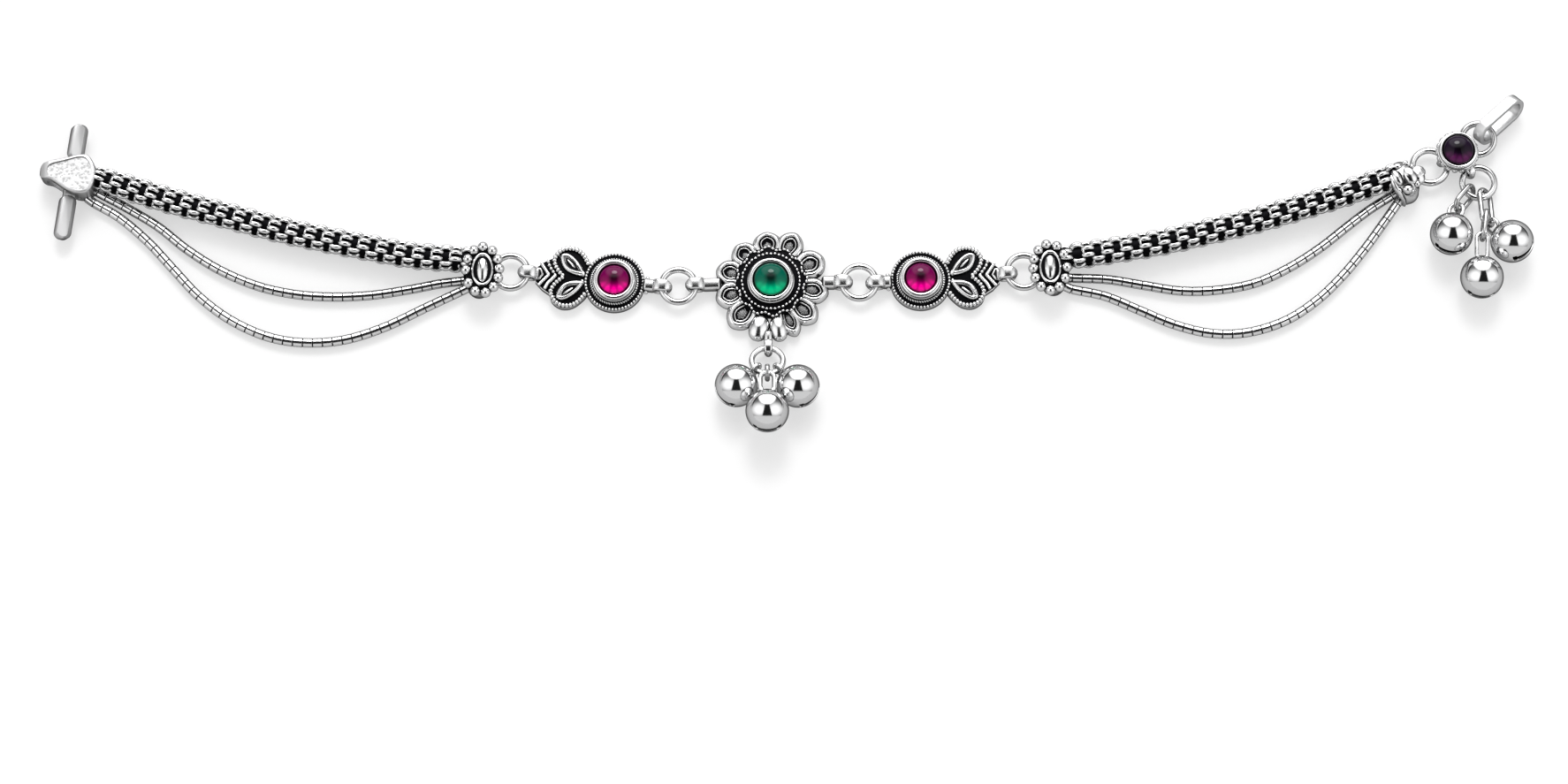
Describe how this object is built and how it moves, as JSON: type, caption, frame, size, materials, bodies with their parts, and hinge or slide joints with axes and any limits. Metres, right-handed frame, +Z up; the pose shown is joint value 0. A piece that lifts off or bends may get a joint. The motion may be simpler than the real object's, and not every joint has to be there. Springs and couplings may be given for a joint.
{
  "type": "anklet",
  "caption": "Oxidised silver anklet with a flower, leaf settings, coloured stones, snake chains beside a woven chain, bell drops and a toggle clasp, lying open",
  "frame": {"origin": "middle of the anklet's box, on the table it lies on", "axes": "+X along the anklet from the toggle bar to the loop, +Y away from the side where the bells hang, +Z up from the table"},
  "size_m": [0.2639, 0.063, 0.0101],
  "materials": {
    "silver": "polished silver with dark recesses",
    "woven_silver": "woven silver wire on a dark ground",
    "snake_silver": "polished snake chain",
    "bell_silver": "mirror",
    "red_stone": "clear magenta",
    "green_stone": "clear emerald green",
    "purple_stone": "clear dark purple"
  },
  "bodies": {
    "anklet": {"bar_cap": "silver", "left_woven_chain": "woven_silver", "left_inner_snake_chain": "snake_silver", "left_outer_snake_chain": "snake_silver", "left_terminal": "silver", "left_terminal_ring": "silver", "left_leaf_setting": "silver", "left_red_stone": "red_stone", "left_flower_ring": "silver", "flower_setting": "silver", "green_cabochon": "green_stone", "right_flower_ring": "silver", "right_leaf_setting": "silver", "right_red_stone": "red_stone", "right_terminal_ring": "silver", "right_terminal": "silver", "right_woven_chain": "woven_silver", "right_inner_snake_chain": "snake_silver", "right_outer_snake_chain": "snake_silver", "end_cap": "silver", "end_ring": "silver", "end_bezel": "silver", "purple_cabochon": "purple_stone", "clasp_ring": "silver", "oblong_loop": "silver", "drop_ring": "silver", "cluster_ring": "silver", "cluster_link": "silver", "cluster_bell_left": "bell_silver", "cluster_bell_middle": "bell_silver", "cluster_bell_right": "bell_silver", "drop_link_left": "silver", "drop_link_right": "silver", "drop_link_middle": "silver", "drop_bell_left": "bell_silver", "drop_bell_middle": "bell_silver", "drop_bell_right": "bell_silver"},
    "toggle_bar": {"toggle_bar": "silver"}
  },
  "joints": [
    {"name": "toggle_bar_roll", "type": "hinge", "parent": "anklet", "child": "toggle_bar", "pos_m": [-0.12655, 0.01554, 0.0022], "axis": [0.1132, 0.9936, 0], "continuous": true}
  ]
}
